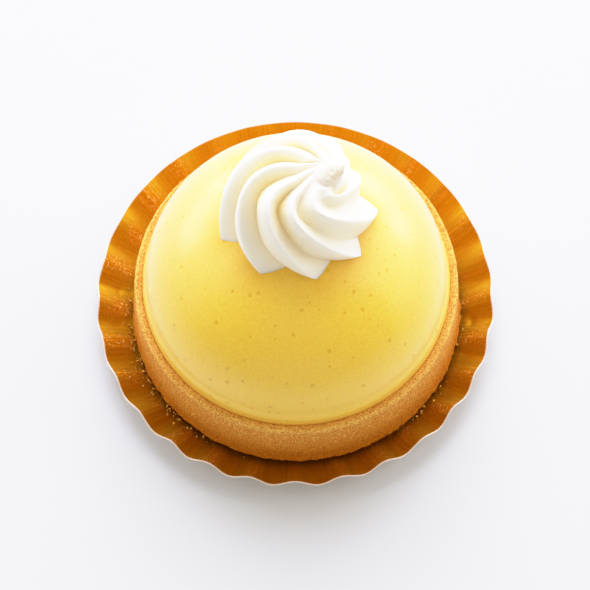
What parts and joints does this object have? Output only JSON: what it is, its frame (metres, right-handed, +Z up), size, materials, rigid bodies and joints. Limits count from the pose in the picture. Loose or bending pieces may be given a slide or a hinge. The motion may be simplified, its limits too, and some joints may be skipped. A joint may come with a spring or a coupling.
{
  "type": "lemon tartlet",
  "caption": "Round shortcrust tartlet with a smooth domed lemon filling and a piped cream rosette, served on a fluted gold card with a turned-up rim.",
  "frame": {"origin": "middle of the card's underside, where it stands", "axes": "+Z up, -Y towards the viewer, +X to the viewer's right"},
  "size_m": [0.097, 0.097, 0.0687],
  "materials": {
    "gold_foil_card": "gold foil laminate, brushed",
    "shortcrust": "baked, sandy and dry",
    "lemon_cream": "smooth set cream with a soft shine",
    "whipped_cream": "soft satin"
  },
  "bodies": {
    "root": {"gold_card": "gold_foil_card", "pastry_shell": "shortcrust", "lemon_filling": "lemon_cream", "cream_rosette": "whipped_cream"}
  },
  "joints": []
}
